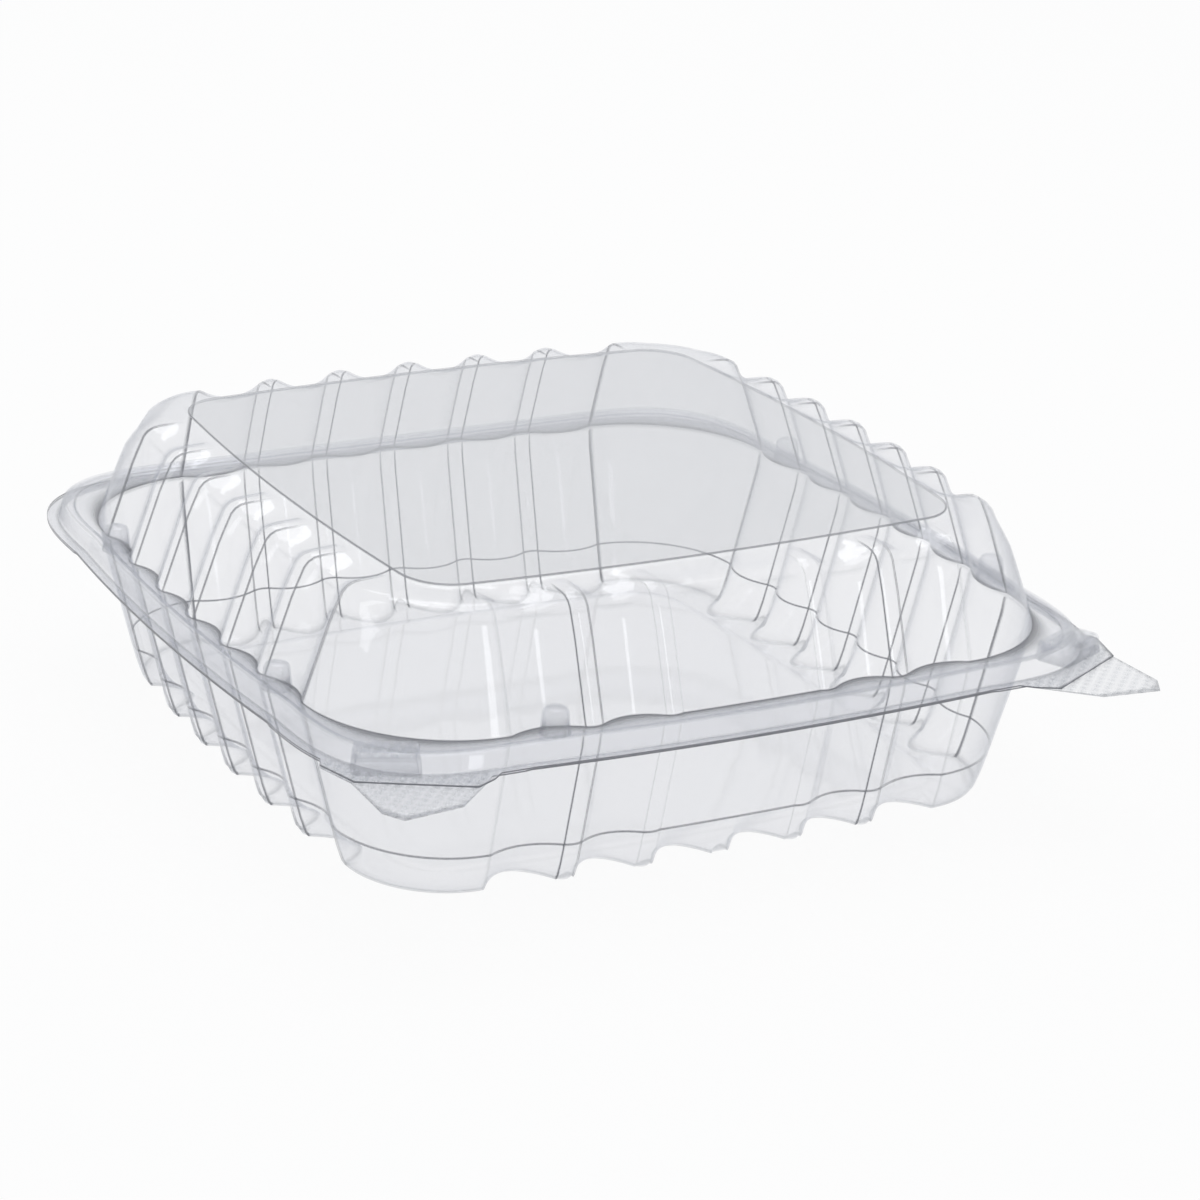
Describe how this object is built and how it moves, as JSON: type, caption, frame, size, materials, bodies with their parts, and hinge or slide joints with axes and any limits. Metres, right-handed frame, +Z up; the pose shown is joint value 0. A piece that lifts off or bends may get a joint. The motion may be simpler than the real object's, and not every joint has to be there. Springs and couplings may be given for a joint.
{
  "type": "plastic clamshell pack",
  "caption": "Clear square hinged food container: a fluted tray and a fluted flat-topped lid folded at the back, with corner pull tabs at the front.",
  "frame": {"origin": "under the middle of the tray, on the table", "axes": "+Z up, -Y to the front with the two corner tabs, +X to the right along the back fold"},
  "size_m": [0.228, 0.2494, 0.0759],
  "materials": {
    "clear_sheet": "clear glossy thermoformed sheet"
  },
  "bodies": {
    "base": {"tray": "clear_sheet"},
    "cover": {"lid": "clear_sheet"}
  },
  "joints": [
    {"name": "lid_hinge", "type": "hinge", "parent": "base", "child": "cover", "pos_m": [0, 0.1185, 0.0415], "axis": [-1, 0, 0], "range_deg": [0, 180]}
  ]
}
